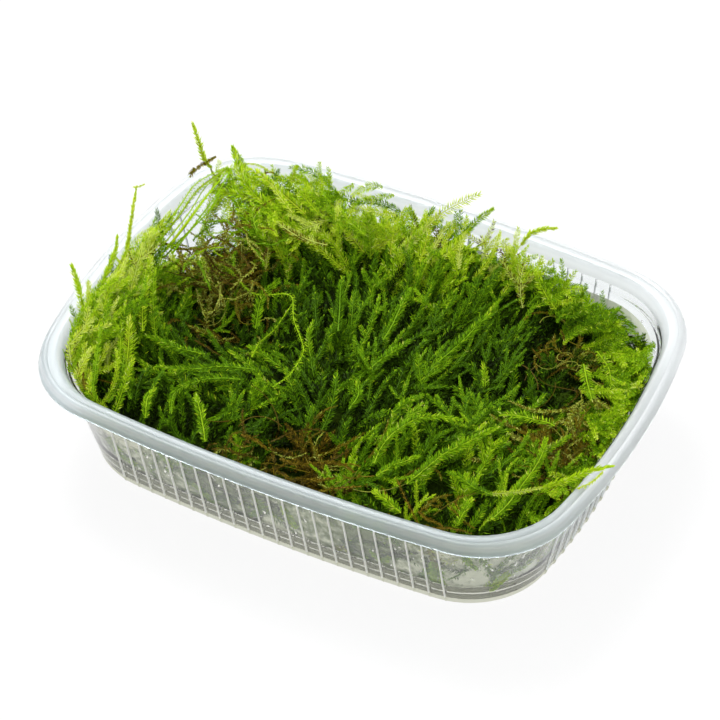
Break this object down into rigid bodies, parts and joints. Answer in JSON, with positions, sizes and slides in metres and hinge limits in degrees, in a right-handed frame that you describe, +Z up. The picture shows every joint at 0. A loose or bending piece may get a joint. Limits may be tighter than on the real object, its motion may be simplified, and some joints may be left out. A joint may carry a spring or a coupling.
{
  "type": "moss clump",
  "caption": "Loose clump of live aquarium moss, a tangled mat of feathery green shoots filling a clear ribbed rectangular tub.",
  "frame": {"origin": "centre of the tub's flat base, on the surface it stands on", "axes": "+Z up out of the tub, +X along its long side, +Y towards its other long side, where the moss stands highest"},
  "size_m": [0.1477, 0.1108, 0.0498],
  "materials": {
    "tub_plastic": "clear, slightly milky polypropylene",
    "moss_tangle": "tangled wet leaves, dark between the shoots",
    "moss_shoot": "small wet green leaves",
    "green_stem": "thin bare green stem",
    "old_stem": "old brown stem"
  },
  "bodies": {
    "root": {"moss_mat": "moss_tangle", "shoot_back_hook": "moss_shoot", "shoot_back_left_corner": "moss_shoot", "shoot_back_left_sprig": "moss_shoot", "shoot_back_right": "moss_shoot", "shoot_back_sprig": "moss_shoot", "shoot_back_upright": "moss_shoot", "shoot_centre": "moss_shoot", "shoot_centre_left": "moss_shoot", "shoot_centre_low": "moss_shoot", "shoot_centre_right": "moss_shoot", "shoot_centre_sprig": "moss_shoot", "shoot_curved_left": "moss_shoot", "shoot_front_arc": "moss_shoot", "shoot_front_bright": "moss_shoot", "shoot_front_centre": "moss_shoot", "shoot_front_left": "moss_shoot", "shoot_front_left_curl": "moss_shoot", "shoot_front_low": "moss_shoot", "shoot_front_right": "moss_shoot", "shoot_herringbone": "moss_shoot", "shoot_left_crest": "moss_shoot", "shoot_left_crest_low": "moss_shoot", "shoot_left_overhang": "moss_shoot", "shoot_left_rim": "moss_shoot", "shoot_long_left": "moss_shoot", "shoot_long_right": "moss_shoot", "shoot_pale_back": "moss_shoot", "shoot_right_arc": "moss_shoot", "shoot_right_cross": "moss_shoot", "shoot_right_edge": "moss_shoot", "shoot_right_feathery": "moss_shoot", "shoot_right_overhang": "moss_shoot", "shoot_tall_back_left": "moss_shoot", "shoot_thin_left": "moss_shoot", "shoot_upper_left": "moss_shoot", "stem_back_left_arch": "green_stem", "stem_brown_front": "old_stem", "stem_brown_left": "old_stem", "stem_brown_right": "old_stem", "stem_brown_short": "old_stem", "stem_left_arch_inner": "green_stem", "stem_left_arch_outer": "green_stem", "stem_right": "green_stem", "tub": "tub_plastic"}
  },
  "joints": []
}
